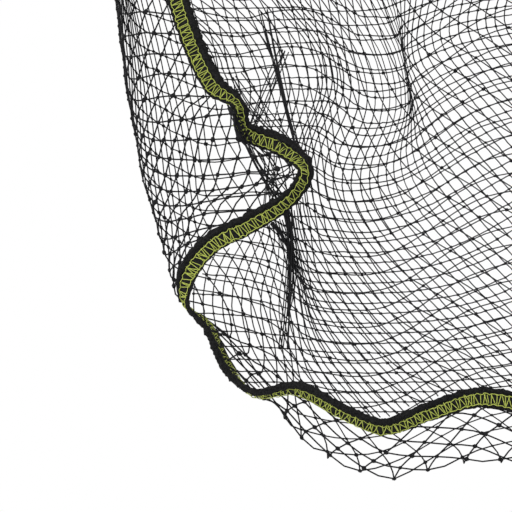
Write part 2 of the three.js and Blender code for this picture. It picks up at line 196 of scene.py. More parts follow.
# seam row, mesh number round the band, place on the hoop in degrees, outermost turn x y z, tuck x y z
BAND_SECTIONS = np.array([
    (0, 0, 180, -207, -44, -340, 0, 0, 0),
    (1, 5, 185, -200, -56, -395, 0, -4, 0),
    (2, 9, 190, -194, -62, -436, 2, -4, 0),
    (3, 10.3, 195, -191, -64, -447, 17, -28, -1),
    (4, 11.6, 200, -189, -66, -457, 20, -30, -3),
    (5, 13, 206, -187, -68, -468, 19, -28, -3),
    (6, 14.4, 212, -185, -70, -479, 19, -22, -2),
    (7, 15.8, 218, -183, -71, -490, 4, -15, 0),
    (8, 17.1, 223, -180, -73, -501, 2, -9, 0),
    (9, 18.4, 228, -177, -76, -511, 0, -5, 0),
    (10, 19.7, 233, -174, -79, -521, 0, -2, 0),
    (11, 21.2, 238, -169, -80, -532, 0, 0, 0),
    (12, 22.8, 243, -149, -72, -545, 0, 0, 0),
    (13, 25, 248, -132, -72, -563, 0, 0, 0),
    (14, 26.4, 251, -124, -76, -577, 0, 0, 0),
    (15, 27.9, 254, -116, -78, -593, 0, 0, -2),
    (17, 30.6, 260, -79, -80, -611, 0, 0, -4),
    (19, 33.4, 268, -34, -80, -604, 0, 0, -4),
    (21, 36.6, 279, 22, -80, -610, 0, 0, -4),
    (23, 40, 291, 80, -80, -601, 0, 0, -4),
    (25, 43.6, 304, 141, -77, -588, 0, 0, -2),
    (26, 46, 313, 168, -73, -552, 0, 0, 0),
    (27, 49, 321, 182, -71, -516, 0, -3, 0),
    (28, 52.5, 330, 189, -68, -482, -4, -8, 0),
    (29, 57, 340, 195, -62, -440, -2, -6, 0),
    (30, 61.5, 350, 202, -54, -394, 0, -4, 0),
    (31, 67, 362, 208, -46, -338, 0, -2, 0),
    (32, 72.5, 380, 196, -58, -258, 0, -4, 0),
    (33, 78, 405, 128, -62, -198, 0, -6, 0),
    (34, 84, 438, 34, -60, -186, 0, -8, 0),
    (35, 90, 466, -48, -62, -192, 0, -8, 0),
    (36, 96, 498, -130, -60, -202, 0, -6, 0),
    (37, 102, 522, -196, -52, -264, 0, -4, 0),
], float)
BAND_MESHES = 108


def free_of_block(points):
    """0 under the head block and 1 beside it, with the step 3 t2 - 2 t3 between. Low points are all free."""
    t = np.clip((np.abs(points[:, 0]) - UNDER_BLOCK_FLAT) / (UNDER_BLOCK_FREE - UNDER_BLOCK_FLAT), 0, 1)
    return np.where(points[:, 2] > HOOP_CENTRE_Z, t * t * (3 - 2 * t), 1)


def hoop_edge(deg):
    """Where a section ends: on the tube's lower front side, dropped clear under the head block."""
    edge = hoop_line(deg) + edge_side(deg) * EDGE_OUT
    edge[:, 2] -= UNDER_BLOCK_DIP * (1 - free_of_block(edge))
    return edge


BAND_KNOTS = SEAM_KNOTS[BAND_SECTIONS[:, 0].astype(int)]


def band_rows(mesh):
    """Seam place, hoop place, outermost turn and tuck of the section at a mesh number."""
    place = closed_curve(BAND_SECTIONS[:, 1], BAND_MESHES, BAND_KNOTS[:, None], mesh, [SEAM_LENGTH])
    rest = closed_curve(BAND_KNOTS, SEAM_LENGTH, BAND_SECTIONS[:, 2:], place[:, 0], [360, 0, 0, 0, 0, 0, 0])
    return np.hstack([place, rest])


def section_stops(mesh):
    """The five points of each section: start and end, outer from the table, inner = halfway from start to
    outer plus the tuck, and rear = outer plus a share of the way to the end."""
    rows = band_rows(mesh)
    centre, _, across, _ = tape_frame(rows[:, 0])
    start = centre + across * CLOTH_FROM_TAPE
    end = hoop_edge(rows[:, 1])
    outer = rows[:, 2:5]
    inner = (start + outer) / 2 + rows[:, 5:8]
    rear = outer + (end - outer) * REAR_TURN
    return np.stack([start, inner, outer, rear, end])


def band_points(mesh, share):
    """A point of the band: mesh is the number round it, share is the part of the section from the tape to
    the hoop. The section is a cubic through its five points, with slopes by central differences."""
    stops = section_stops(mesh)
    steps = np.linalg.norm(np.diff(stops, axis=0), axis=2)
    knots = np.concatenate([np.zeros((1, len(mesh))), np.cumsum(steps, axis=0)])
    chords = np.diff(stops, axis=0) / steps[..., None]
    middle = (stops[2:] - stops[:-2]) / (knots[2:] - knots[:-2])[..., None]
    slopes = np.concatenate([chords[:1], middle, chords[-1:]])
    at = share * knots[-1]
    i = np.clip((at >= knots).sum(axis=0) - 1, 0, len(stops) - 2)
    j = np.arange(len(mesh))
    step = steps[i, j][:, None]
    t = ((at - knots[i, j])[:, None]) / step
    return hermite(stops[i, j], stops[i + 1, j], slopes[i, j], slopes[i + 1, j], step, t)


# %% [markdown]
# The base panel is a sheet pulled across the seam. Seen from the front it never doubles back, so its depth
# is a function of x and z: a gentle slope in the middle, the seam's own depth at the edge, and soft ridges
# and troughs added on top.

# %% Base panel as a surface
PANEL_CENTRE = np.array([0.0, -84.0, -480.0])
PANEL_SLOPE = 0.148
# x, z, half width, half height, depth (towards the back) and lean in degrees
PANEL_FOLDS = np.array([
    (-98, -425, 20, 42, -9, 4),
    (-60, -428, 15, 52, 16, 4),
    (-119, -520, 6, 22, 7, 0),
    (-122, -442, 9, 22, -10, -8),
    (-146, -527, 14, 16, -4, 0),
    (30, -425, 34, 70, -10, -6),
    (88, -450, 15, 60, 10, -4),
    (128, -505, 14, 34, -5, 10),
    (-10, -540, 44, 24, -5, 0),
    (-20, -345, 60, 24, 6, 0),
], float)
EDGE_SAMPLES = 4000
EDGE_PLACES = np.linspace(0, SEAM_LENGTH, EDGE_SAMPLES, endpoint=False)


def panel_edge():
    """The panel's edge along the tape, sorted by its angle about the panel's centre in the front view."""
    centre, _, across, _ = tape_frame(EDGE_PLACES)
    edge = centre - across * CLOTH_FROM_TAPE
    offset = edge[:, [0, 2]] - PANEL_CENTRE[[0, 2]]
    angle = np.arctan2(offset[:, 1], offset[:, 0])
    order = np.argsort(angle)
    return angle[order], np.hypot(*offset.T)[order], edge[order, 1]


EDGE_ANGLE, EDGE_RADIUS, EDGE_DEPTH = panel_edge()


def panel_ring(x, z):
    """0 at the panel's centre and 1 at its edge: distance from the centre over the edge's distance."""
    angle = np.arctan2(z - PANEL_CENTRE[2], x - PANEL_CENTRE[0])
    radius = np.interp(angle, EDGE_ANGLE, EDGE_RADIUS, period=2 * np.pi)
    return np.hypot(x - PANEL_CENTRE[0], z - PANEL_CENTRE[2]) / radius, angle


def fold_depth(x, z):
    """Sum of deep exp(-u2 - v2), with u across and v down each fold, leaned by its angle."""
    depth = np.zeros_like(x)
    for fold_x, fold_z, wide, tall, deep, lean in PANEL_FOLDS:
        c, s = math.cos(math.radians(lean)), math.sin(math.radians(lean))
        across = ((x - fold_x) * c + (z - fold_z) * s) / wide
        down = ((z - fold_z) * c - (x - fold_x) * s) / tall
        depth += deep * np.exp(-across ** 2 - down ** 2)
    return depth


def panel_depth(x, z):
    """y = mix(slope, edge depth, ring^3) + folds (1 - ring^8)."""
    ring, angle = panel_ring(x, z)
    ring = np.clip(ring, 0, 1)
    middle = PANEL_CENTRE[1] + (z - PANEL_CENTRE[2]) * PANEL_SLOPE
    edge = np.interp(angle, EDGE_ANGLE, EDGE_DEPTH, period=2 * np.pi)
    return middle + (edge - middle) * ring ** 3 + fold_depth(x, z) * (1 - ring ** 8)


# %% [markdown]
# Netting is strands and knots. A strand is a thin tube along one line of the lattice, and a knot is a small
# lump where two lines cross. Thousands of them are worked out as whole arrays: one array holds every line's
# points, and a mask says which points are really on the cloth.

# %% Building pieces from arrays
def make_piece(name, points, *face_sets):
    """A mesh object at the origin from points in millimetres and arrays of faces. Points on no face, which
    are those off the cloth, are left out."""
    counts = np.concatenate([np.full(len(faces), faces.shape[1]) for faces in face_sets])
    corners = np.concatenate([faces.ravel() for faces in face_sets])
    used, corners = np.unique(corners, return_inverse=True)
    mesh = bpy.data.meshes.new(name)
    mesh.vertices.add(len(used))
    mesh.vertices.foreach_set("co", (points[used] * MM).astype(np.float32).ravel())
    mesh.loops.add(len(corners))
    mesh.loops.foreach_set("vertex_index", corners.astype(np.int32).ravel())
    mesh.polygons.add(len(counts))
    mesh.polygons.foreach_set("loop_start", (np.cumsum(counts) - counts).astype(np.int32))
    mesh.update(calc_edges=True)
    mesh.validate()
    mesh.shade_smooth()
    made = bpy.data.objects.new(name, mesh)
    bpy.context.scene.collection.objects.link(made)
    print(name, "triangles", int((counts - 2).sum()))
    return made


def tubes(lines, normals, radius, sides, live=None):
    """Tubes along lines (n, m, 3): point k of a ring is p + r (cos a across + sin a normal). Faces join
    neighbouring live points, which are all of them where no mask is given, and close each run's two ends."""
    if live is None:
        live = np.ones(lines.shape[:2], bool)
    along = unit(np.gradient(lines, axis=1))
    normals = unit(normals - along * (normals * along).sum(-1, keepdims=True))
    across = np.cross(along, normals)
    angle = 2 * np.pi * np.arange(sides) / sides
    radius = np.broadcast_to(radius, lines.shape[:2])[..., None, None]
    rings = across[:, :, None] * np.cos(angle)[:, None] + normals[:, :, None] * np.sin(angle)[:, None]
    points = (lines[:, :, None] + rings * radius).reshape(-1, 3)
    index = np.arange(len(points)).reshape(*live.shape, sides)
    joined = live[:, :-1] & live[:, 1:]
    here, there = index[:, :-1][joined], index[:, 1:][joined]
    walls = np.stack([here, np.roll(here, -1, 1), np.roll(there, -1, 1), there], axis=-1).reshape(-1, 4)
    before = np.pad(joined, ((0, 0), (1, 0)))
    after = np.pad(joined, ((0, 0), (0, 1)))
    starts = index[after & ~before][:, ::-1]
    ends = index[before & ~after]
    return points, walls, np.concatenate([starts, ends])


GOLD = (1 + 5 ** 0.5) / 2
BALL_POINTS = unit(np.array([
    (-1, GOLD, 0), (1, GOLD, 0), (-1, -GOLD, 0), (1, -GOLD, 0), (0, -1, GOLD), (0, 1, GOLD),
    (0, -1, -GOLD), (0, 1, -GOLD), (GOLD, 0, -1), (GOLD, 0, 1), (-GOLD, 0, -1), (-GOLD, 0, 1),
]))
BALL_FACES = np.array([
    (0, 11, 5), (0, 5, 1), (0, 1, 7), (0, 7, 10), (0, 10, 11), (1, 5, 9), (5, 11, 4), (11, 10, 2),
    (10, 7, 6), (7, 1, 8), (3, 9, 4), (3, 4, 2), (3, 2, 6), (3, 6, 8), (3, 8, 9), (4, 9, 5),
    (2, 4, 11), (6, 2, 10), (8, 6, 7), (9, 8, 1),
])
KNOT_ACROSS = 0.8
KNOT_OUT = 0.75


def knots_at(centres, along, across, normals, size):
    """One small lump for each centre: c + size (x along + 0.8 y across + 0.75 z normal), with x, y and z
    from a ball of twenty faces."""
    axes = np.stack([along, across * KNOT_ACROSS, normals * KNOT_OUT], axis=1) * size
    points = centres[:, None] + BALL_POINTS @ axes
    faces = BALL_FACES[None] + (np.arange(len(centres)) * len(BALL_POINTS))[:, None, None]
    return points.reshape(-1, 3), faces.reshape(-1, 3)


def join_parts(parts):
    """Several (points, faces, ...) lists as one list of points and one list of face arrays."""
    points, face_sets, start = [], [], 0
    for part_points, *part_faces in parts:
        points.append(part_points)
        face_sets += [faces + start for faces in part_faces]
        start += len(part_points)
    return np.concatenate(points), face_sets


# %% [markdown]
# The base panel's netting is a lattice of columns and rows. Cut and stretched flat it would be regular,
# but in the bag its own weight and the drawn-in tape pull it out of true. So the lattice starts regular,
# with the drift that a slack net has, and a few gathers and sags are laid over it. A gather takes up part
# of each row's width, so that everything to the left of it moves to the right. A sag lets the rows hang
# lower, and a lift holds them up.

# %% Where the panel's meshes lie
COLUMN_STEP = 4.3
ROW_STEP = 4.25
FIRST_COLUMN, LAST_COLUMN = -30, 78
FIRST_ROW, LAST_ROW = -34, 40
PLAIN_COLUMN = 30.0
PLAIN_X, PLAIN_Z = -24.0, -403.0
DRIFT_BELOW, DRIFT_MORE, DRIFT_ABOVE = 3.5, 0.01, 1.6
# The soft fold: mm taken up, its column, columns over which it comes in, and its height in rows.
FOLD_WIDE, FOLD_COLUMN, FOLD_SOFT, FOLD_TALL = 48, 14, 5, 6.5
# The pleat: it starts at a column, and further left in each row from a given one on.
PLEAT_COLUMN, PLEAT_SLANT, PLEAT_SLANT_ROW = 1, 0.8, 9
# Its most mm taken up, then the row and softness of its first end and of its last.
PLEAT_WIDE, PLEAT_FIRST, PLEAT_FIRST_SOFT, PLEAT_LAST, PLEAT_LAST_SOFT = 105, -5, 3, 17.5, 4
# The least room, so that no row is divided by zero.
PLEAT_LEAST = 1
# Its mm taken up for each column, what each row adds to that, and the row from which nothing is added.
PLEAT_RATE, PLEAT_RATE_MORE, PLEAT_RATE_ROW = 2.1, 0.09, 20
# The sag of the left side: mm, column, softness in columns, row, softness in rows.
SAG_DEEP, SAG_COLUMN, SAG_COLUMN_SOFT, SAG_ROW, SAG_ROW_SOFT = 45, 17, 9, -3, 8
# Lifts of the left side: mm, column, softness in columns, row, height in rows.
LEFT_LIFTS = ((13, 2, 2, 4, 8), (28, -14, 6, 18, 5))
MIDDLE_LIFT, MIDDLE_COLUMN, MIDDLE_WIDE = 8, 44, 10
RIGHT_SAG, RIGHT_COLUMN = 0.6, 52


def step_up(u):
    """A smooth step from 0 to 1: half of one plus the hyperbolic tangent."""
    return (1 + np.tanh(u)) / 2


def bell(u):
    """A smooth bump of height 1: e to the minus u squared."""
    return np.exp(-u * u)


def ramp(u):
    """0 below zero and u above it, with a rounded corner: the logarithm of 1 plus e to the u."""
    return np.logaddexp(0, u)


def panel_lattice(columns, rows):
    """Points (column, row, 3) of the panel's lattice, with the ring number of each. Across is the plain
    column's place, plus the step for each column, plus what the gathers take up. Down is the row's step, plus
    the sags, less the lifts. The pleat takes up its rate for each column past its start, until its room is
    full."""
    c, r = columns[:, None], rows[None, :]
    below, above = ramp(r), ramp(-r)
    x = PLAIN_X + DRIFT_BELOW * below + DRIFT_MORE * below ** 2 + DRIFT_ABOVE * above
    x = x + COLUMN_STEP * (c - PLAIN_COLUMN)
    x = x + FOLD_WIDE * step_up((FOLD_COLUMN - c) / FOLD_SOFT) * bell(r / FOLD_TALL)
    starts = PLEAT_COLUMN - PLEAT_SLANT * ramp(r - PLEAT_SLANT_ROW)
    room = PLEAT_WIDE * step_up((PLEAT_LAST - r) / PLEAT_LAST_SOFT)
    room = room * step_up((r - PLEAT_FIRST) / PLEAT_FIRST_SOFT) + PLEAT_LEAST
    rate = PLEAT_RATE + PLEAT_RATE_MORE * np.clip(r, 0, PLEAT_RATE_ROW)
    x = x + room * np.tanh(rate * ramp(starts - c) / room)
    sag = SAG_DEEP * step_up((SAG_COLUMN - c) / SAG_COLUMN_SOFT)
    down = ROW_STEP * r + sag * step_up((r - SAG_ROW) / SAG_ROW_SOFT)
    for rise, column, soft, row, tall in LEFT_LIFTS:
        down = down - rise * step_up((column - c) / soft) * bell((r - row) / tall)
    down = down - MIDDLE_LIFT * bell((c - MIDDLE_COLUMN) / MIDDLE_WIDE) + RIGHT_SAG * ramp(c - RIGHT_COLUMN)
    z = PLAIN_Z - down
    return np.stack([x, panel_depth(x, z), z], axis=-1), panel_ring(x, z)[0]


def panel_normals(points):
    """Normal of the panel's surface at each point, from its slopes over a millimetre, facing the front."""
    x, z = points[..., 0], points[..., 2]
    slope_x = panel_depth(x + 0.5, z) - panel_depth(x - 0.5, z)
    slope_z = panel_depth(x, z + 0.5) - panel_depth(x, z - 0.5)
    return unit(np.stack([slope_x, -np.ones_like(x), slope_z], axis=-1))


# %% [markdown]
# Real netting twine is soft. Each bar between two knots is a little crooked, and each knot stands a little
# off its place. So every point of the lattice gets a small random offset of its own. Both families of
# strands are read from the same points, so they still cross at the knots.

# %% Crooked bars
random = np.random.default_rng(11)


def crooked(shape, amount):
    """Random offsets for whole grids, in millimetres."""
    return random.normal(0, amount, shape)


FINE_RADIUS = 0.28
FINE_SIDES = 4
FINE_KNOT = 0.76
FINE_KNOTS_DIFFER = 0.14
FINE_SAMPLES = 2
FINE_CROOKED = 0.09
CROOKED_SHARES = np.array([1, 0.8, 1])
UNDER_TAPE = 0.998
KNOTS_UNDER_TAPE = 0.99
# Down to the tape's fold the gathered columns lie too close together, so every second one is left out.
THINNED_AFTER, THINNED_BEFORE, THINNED_ABOVE_ROW = -21, -4, 9

half_sample = 0.5 / FINE_SAMPLES
fine_columns = np.arange(FIRST_COLUMN, LAST_COLUMN + half_sample, 1 / FINE_SAMPLES)
fine_rows = np.arange(FIRST_ROW, LAST_ROW + half_sample, 1 / FINE_SAMPLES)
fine_points, fine_ring = panel_lattice(fine_columns, fine_rows)
fine_normals = panel_normals(fine_points)
fine_points = fine_points + crooked(fine_points.shape, FINE_CROOKED) * CROOKED_SHARES
cross_live = fine_ring < UNDER_TAPE
down_live = cross_live.copy()
gathered = (fine_columns > THINNED_AFTER) & (fine_columns < THINNED_BEFORE)
down_live[np.ix_(gathered & (np.mod(fine_columns, 2) == 1), fine_rows < THINNED_ABOVE_ROW)] = False
print("fine netting", down_live[::FINE_SAMPLES, ::FINE_SAMPLES].sum(), "crossings")

# %% Base panel netting
down_parts = tubes(fine_points[::FINE_SAMPLES], fine_normals[::FINE_SAMPLES],
                   FINE_RADIUS, FINE_SIDES, down_live[::FINE_SAMPLES])
cross_lines = fine_points[:, ::FINE_SAMPLES].swapaxes(0, 1)
cross_normals = fine_normals[:, ::FINE_SAMPLES].swapaxes(0, 1)
cross_parts = tubes(cross_lines, cross_normals, FINE_RADIUS, FINE_SIDES, cross_live[:, ::FINE_SAMPLES].T)
points, faces = join_parts([down_parts, cross_parts])
base_panel_strands = make_piece("base_panel_strands", points, *faces)

# %% Base panel knots
# Each knot is turned along its cross strand, and their sizes differ a little.
every = (slice(None, None, FINE_SAMPLES), slice(None, None, FINE_SAMPLES))
knotted = (down_live & (fine_ring < KNOTS_UNDER_TAPE))[every]
along = unit(np.gradient(fine_points, axis=0))[every][knotted]
centres = fine_points[every][knotted]
facing = fine_normals[every][knotted]
grown = FINE_KNOT * (1 + crooked((len(centres), 1, 1), FINE_KNOTS_DIFFER))
points, faces = knots_at(centres, along, unit(np.cross(facing, along)), facing, grown)
base_panel_knots = make_piece("base_panel_knots", points, faces)

# %% [markdown]
# The side band is 108 meshes round. One family of strands runs along the sections. The other is slanted:
# from each section to the next it moves by about three quarters of a mesh, away from the seam on the way
# down the left side. Places along a section, here called cells, are counted in meshes of arc length from
# the outermost turn: less than 0 to the seam and more than 0 up to the hoop. So the meshes in front of the
# turn all have one size, and those behind it, which the bag's weight pulls, are all a little longer.

# %% Places on the side band by arc length
COARSE_MESH = 8.1
REAR_MESH = 9.3
SLANT_CELLS = 83
SLANT = SLANT_CELLS / BAND_MESHES
COARSE_RADIUS = 0.38
COARSE_SIDES = 5
COARSE_KNOT = 1.3
COARSE_KNOTS_DIFFER = 0.12
COARSE_SAMPLES = 2
LINE_STEPS = 4
SHARE_STEPS = 168
FAR_APART = 1000.0

line_meshes = np.arange(0, BAND_MESHES * LINE_STEPS + 1) / LINE_STEPS
line_shares = np.linspace(0, 1, SHARE_STEPS + 1)
mesh_grid, share_grid = np.meshgrid(line_meshes, line_shares, indexing="ij")
band_surface = band_points(mesh_grid.ravel(), share_grid.ravel()).reshape(*mesh_grid.shape, 3)
arc_steps = np.linalg.norm(np.diff(band_surface, axis=1), axis=2)
arc = np.pad(np.cumsum(arc_steps, axis=1), ((0, 0), (1, 0)))
lengths = np.linalg.norm(np.diff(section_stops(line_meshes), axis=0), axis=2)
turn = lengths[:2].sum(axis=0) / lengths.sum(axis=0) * SHARE_STEPS
line = np.arange(len(line_meshes))
low = np.floor(turn).astype(int)
turn_arc = arc[line, low] + (arc[line, low + 1] - arc[line, low]) * (turn - low)
beyond = arc - turn_arc[:, None]
cells = beyond / np.where(beyond > 0, REAR_MESH, COARSE_MESH)
line_keys = (cells + FAR_APART * line[:, None]).ravel()
print("meshes from turn to seam", cells[::60, 0].round(), "to hoop", cells[::60, -1].round())


def band_at(mesh, cell):
    """Place on the band: a mix of the two nearest lines of its surface, each read at its arc length. One
    sorted list of line number and arc length holds every line, so one interpolation reads them all."""
    u = np.mod(mesh, BAND_MESHES) * LINE_STEPS
    first = np.minimum(np.floor(u).astype(int), len(line_meshes) - 2)
    mix = (u - first)[..., None]
    found = []
    for line in (first, first + 1):
        inside = np.clip(cell, cells[line, 0], cells[line, -1])
        key = inside + FAR_APART * line
        found.append(np.stack([np.interp(key, line_keys, band_surface[..., axis].ravel())
                               for axis in range(3)], axis=-1))
    return found[0] * (1 - mix) + found[1] * mix


def band_ends(mesh):
    """Lowest and highest cell of the section at each mesh."""
    around = np.mod(mesh, BAND_MESHES)
    return np.interp(around, line_meshes, cells[:, 0]), np.interp(around, line_meshes, cells[:, -1])


AROUND_STEP = 0.2
CELL_STEP = 0.15
END_ROOM = 0.2


def band_normals(mesh, cell):
    """Outward normal: the cross product of the surface's two directions."""
    around = band_at(mesh + AROUND_STEP, cell) - band_at(mesh - AROUND_STEP, cell)
    low_end, high_end = band_ends(mesh)
    inside = np.clip(cell, low_end + END_ROOM, high_end - END_ROOM)
    return unit(np.cross(around, band_at(mesh, inside + CELL_STEP) - band_at(mesh, inside - CELL_STEP)))


# %% [markdown]
# On the real net the strands lean as the bag hangs. So a strand of the first family doesn't follow one
# section of the surface. It moves aside from its section, by more the further it is from the outermost
# turn. This lean is small on the side gussets and larger under the bag, and behind the turn it goes the
# other way.

# %% Crossings of the side band
REAR_LEAN = -0.75
GUSSET_LEAN = 0.1
BASE_LEAN = 0.62
# Meshes from which and by which the lean rises to that under the bag, and from which and by which it falls.
BASE_MESHES = (22.0, 27.0, 45.0, 50.0)
LEAN_ROUND = 2.0
NEWTON_STEPS = 6
COARSE_CROOKED = 0.18
COARSE_CROOKED_MORE = 0.04
CELL_LOW = int(np.floor(cells.min())) - 2
CELL_HIGH = int(np.ceil(cells.max())) + 2
SLANT_ROWS = CELL_HIGH - CELL_LOW + SLANT_CELLS
# Once round the band, a slanting strand has moved on by SLANT_CELLS, so the last mesh repeats the first.
crossing_moves = crooked((BAND_MESHES + 1, SLANT_ROWS + 2, 3), COARSE_CROOKED)
crossing_moves[-1, :SLANT_ROWS + 2 - SLANT_CELLS] = crossing_moves[0, SLANT_CELLS:]


def leaned(cell, front_lean):
    """How many meshes a strand is aside from its section at cell q: lean (root(q2 + 4) - 2), where the 2
    rounds it off at the turn. It comes with the lean and the root."""
    lean = np.where(cell > 0, REAR_LEAN, front_lean)
    root = np.sqrt(cell ** 2 + LEAN_ROUND ** 2)
    return lean * (root - LEAN_ROUND), lean, root


def lattice_place(strand, row):
    """Mesh and cell where strand a of the first family crosses strand r of the second. Newton steps solve
    q = r + slant (a + lean (root(q2 + 4) - 2)), and the mesh is what stands in the outer brackets."""
    front_lean = np.interp(np.mod(strand, BAND_MESHES), BASE_MESHES,
                           [GUSSET_LEAN, BASE_LEAN, BASE_LEAN, GUSSET_LEAN])
    target = row - SLANT_CELLS + CELL_LOW + SLANT * strand
    cell = target / (1 - SLANT * np.where(target > 0, REAR_LEAN, -front_lean))
    for _ in range(NEWTON_STEPS):
        aside, lean, root = leaned(cell, front_lean)
        cell = cell - (cell - SLANT * aside - target) / (1 - SLANT * lean * cell / root)
    return strand + leaned(cell, front_lean)[0], cell


def lattice_strands(strand, row, reach):
    """Lines, normals, mask of live points, cells and mask of points on the cloth, at strand numbers of the
    two families, which may be fractions. A live point may be reach cells past the cloth's edge, and is drawn
    back to it. A crossing's random move is mixed into the points near it."""
    mesh, cell = lattice_place(strand, row)
    low_end, high_end = band_ends(mesh)
    live = (cell > low_end - reach) & (cell < high_end + reach)
    inside = np.clip(cell, low_end, high_end)
    i, j = np.floor(strand).astype(int), np.floor(row).astype(int)
    s, t = (strand - i)[..., None], (row - j)[..., None]
    k = np.minimum(i + 1, BAND_MESHES)
    near = crossing_moves[i, j] * (1 - s) + crossing_moves[k, j] * s
    far = crossing_moves[i, j + 1] * (1 - s) + crossing_moves[k, j + 1] * s
    points = band_at(mesh, inside) + near * (1 - t) + far * t
    points = points + crooked(points.shape, COARSE_CROOKED_MORE)
    return points, band_normals(mesh, inside), live, cell, cell == inside


REAR_THINNER = 0.82
THINNER_CELLS = 2


def pulled(cell):
    """How thick a strand is drawn: 1 in front of the outermost turn, and thinner behind it for looks."""
    return 1 - (1 - REAR_THINNER) * np.clip(cell / THINNER_CELLS, 0, 1)


# %% Strands along the sections of the side band
half_rows = np.arange(0, SLANT_ROWS * COARSE_SAMPLES) / COARSE_SAMPLES
strand_grid, row_grid = np.meshgrid(np.arange(BAND_MESHES), half_rows, indexing="ij")
section_lines, section_normals, section_live, section_cells, _ = lattice_strands(
    strand_grid, row_grid, 1 / COARSE_SAMPLES)
section_radius = COARSE_RADIUS * pulled(section_cells)
section_parts = tubes(section_lines, section_normals, section_radius, COARSE_SIDES, section_live)

# %% Slanting strands of the side band
half_strands = np.arange(0, BAND_MESHES * COARSE_SAMPLES + 1) / COARSE_SAMPLES
row_grid, strand_grid = np.meshgrid(np.arange(SLANT_ROWS), half_strands, indexing="ij")
slant_lines, slant_normals, slant_live, slant_cells, slant_inside = lattice_strands(
    strand_grid, row_grid, SLANT / COARSE_SAMPLES)
slant_radius = COARSE_RADIUS * pulled(slant_cells)
slant_parts = tubes(slant_lines, slant_normals, slant_radius, COARSE_SIDES, slant_live)

# %% [markdown]
# Where the net is gathered, strands of several folds lie side by side. Folds that tight would need a
# surface that doubles back, so bundles of nearly parallel strands are laid where they show. Those of the
# crease run from one place on the tape to another, and two small ones cross the pocket beside them. Those
# of the pleat and of the soft fold lie on the base panel. Its surface gives their depth, so their own y is
# 0.

# %% Bundles of gathered strands
# start x y z, middle x y z, end x y z, half widths at the start, middle and end, number of strands
CREASE_BUNDLES = np.array([
    (-147, -81, -442, -137, -94, -465, -124, -105, -487, 1.8, 2.8, 2.4, 8),
    (-142, -84, -453, -131.5, -96, -470, -121, -105, -484, 1.6, 4.0, 2.0, 4),
    (-128, -93, -463, -129, -97, -474, -131, -105, -491, 3.0, 3.6, 2.6, 4),
    (-118, -97, -470, -126, -98, -476, -134, -97, -473, 2.4, 2.6, 3.4, 3),
])
PLEAT_BUNDLES = np.array([
    (-122, 0, -489, -119.2, 0, -512, -121, 0, -537, 2.0, 2.8, 0.5, 7),
    (-121, 0, -488, -120, 0, -512, -123, 0, -552, 2.2, 3.0, 4.5, 5),
    (-131, 0, -396, -124, 0, -432, -115.5, 0, -467, 6.0, 2.4, 1.8, 6),
    (-146, 0, -428, -134, 0, -446, -120, 0, -460, 5.0, 5.0, 3.0, 5),
    (-122, 0, -416, -130, 0, -436, -138, 0, -452, 6.0, 5.0, 2.6, 5),
])
CREASE_RADIUS = 0.27
PLEAT_RADIUS = 0.3
BUNDLE_SIDES = 5
BUNDLE_SAMPLES = 9
BUNDLE_CROOKED = 0.2
BUNDLE_DEEP = 0.5
BEFORE_PANEL = 1.3
MIXED = 0.4


def bundle(table, radius, on_panel):
    """Tubes from start to end on a parabola through the middle: (1-t)(1-2t) a + 4t(1-t) m + t(2t-1) b, each
    with an offset of its own at the start, middle and end. On the panel, depth comes from its surface."""
    parts = []
    t = np.linspace(0, 1, BUNDLE_SAMPLES)
    weights = np.stack([(1 - t) * (1 - 2 * t), 4 * t * (1 - t), t * (2 * t - 1)])
    for row in table:
        stops, widths, count = row[:9].reshape(3, 3), row[9:12], int(row[12])
        side = unit(np.cross(unit(stops[2] - stops[0]), np.array([0.0, 1.0, 0.0])))
        even = np.linspace(-1, 1, count)[:, None, None] * (1 - MIXED)
        spread = even + random.uniform(-1, 1, (count, 3, 1)) * MIXED
        apart = spread * widths[:, None] * side + crooked((count, 3, 3), BUNDLE_CROOKED)
        lines = np.einsum("ks,nkd->nsd", weights, stops + apart)
        if on_panel:
            depth = panel_depth(lines[..., 0], lines[..., 2]) - BEFORE_PANEL
            lines[..., 1] = depth + random.uniform(-BUNDLE_DEEP, BUNDLE_DEEP, lines.shape[:1])[:, None]
        normals = np.broadcast_to(np.array([0.0, -1.0, 0.0]), lines.shape)
        parts.append(tubes(lines, normals, radius, BUNDLE_SIDES))
    return parts


crease_parts = bundle(CREASE_BUNDLES, CREASE_RADIUS, False)
points, faces = join_parts(bundle(PLEAT_BUNDLES, PLEAT_RADIUS, True))
pleat_strands = make_piece("pleat_strands", points, *faces)

# %% [markdown]
# The band is laced to the hoop. One cord runs along the band's edge, and a thinner one is wound round the
# tube, one turn for each mesh. Beside and under the head block, where a coil would run into it, the wound
# cord lies along the edge too.

# %% The band's edge on the hoop
TURN_STEPS = 12
EDGE_STRIDE = 3
LACE_RADIUS = 0.5
EDGE_CORD_RADIUS = 0.65
LACE_SIDES = 5
coil_mesh = np.arange(0, BAND_MESHES * TURN_STEPS + 1) / TURN_STEPS
coil_deg = band_rows(coil_mesh)[:, 1]
coil_edge = hoop_edge(coil_deg)
coil_side = edge_side(coil_deg)
coil_up = np.cross(hoop_along(coil_deg), coil_side)
turn_angle = 2 * np.pi * coil_mesh[:, None]
round_tube = (np.cos(turn_angle) - 1) * coil_side + np.sin(turn_angle) * coil_up
coil = coil_edge + free_of_block(coil_edge)[:, None] * EDGE_OUT * round_tube
coil_parts = tubes(coil[None], coil_side[None], LACE_RADIUS, LACE_SIDES)
edge_parts = tubes(coil_edge[None, ::EDGE_STRIDE], coil_side[None, ::EDGE_STRIDE],
                   EDGE_CORD_RADIUS, LACE_SIDES)
points, faces = join_parts([coil_parts, edge_parts])
hoop_lacing = make_piece("hoop_lacing", points, *faces)

# %% [markdown]
# A handle screws on the stud, so the stud is threaded from its tip to the collar. On the real one a die
# cuts the thread. Here its crest is one thin wire wound round the plain rod and sunk more than halfway
# into it, which catches the light as a cut thread does and leaves the rod itself as it is.

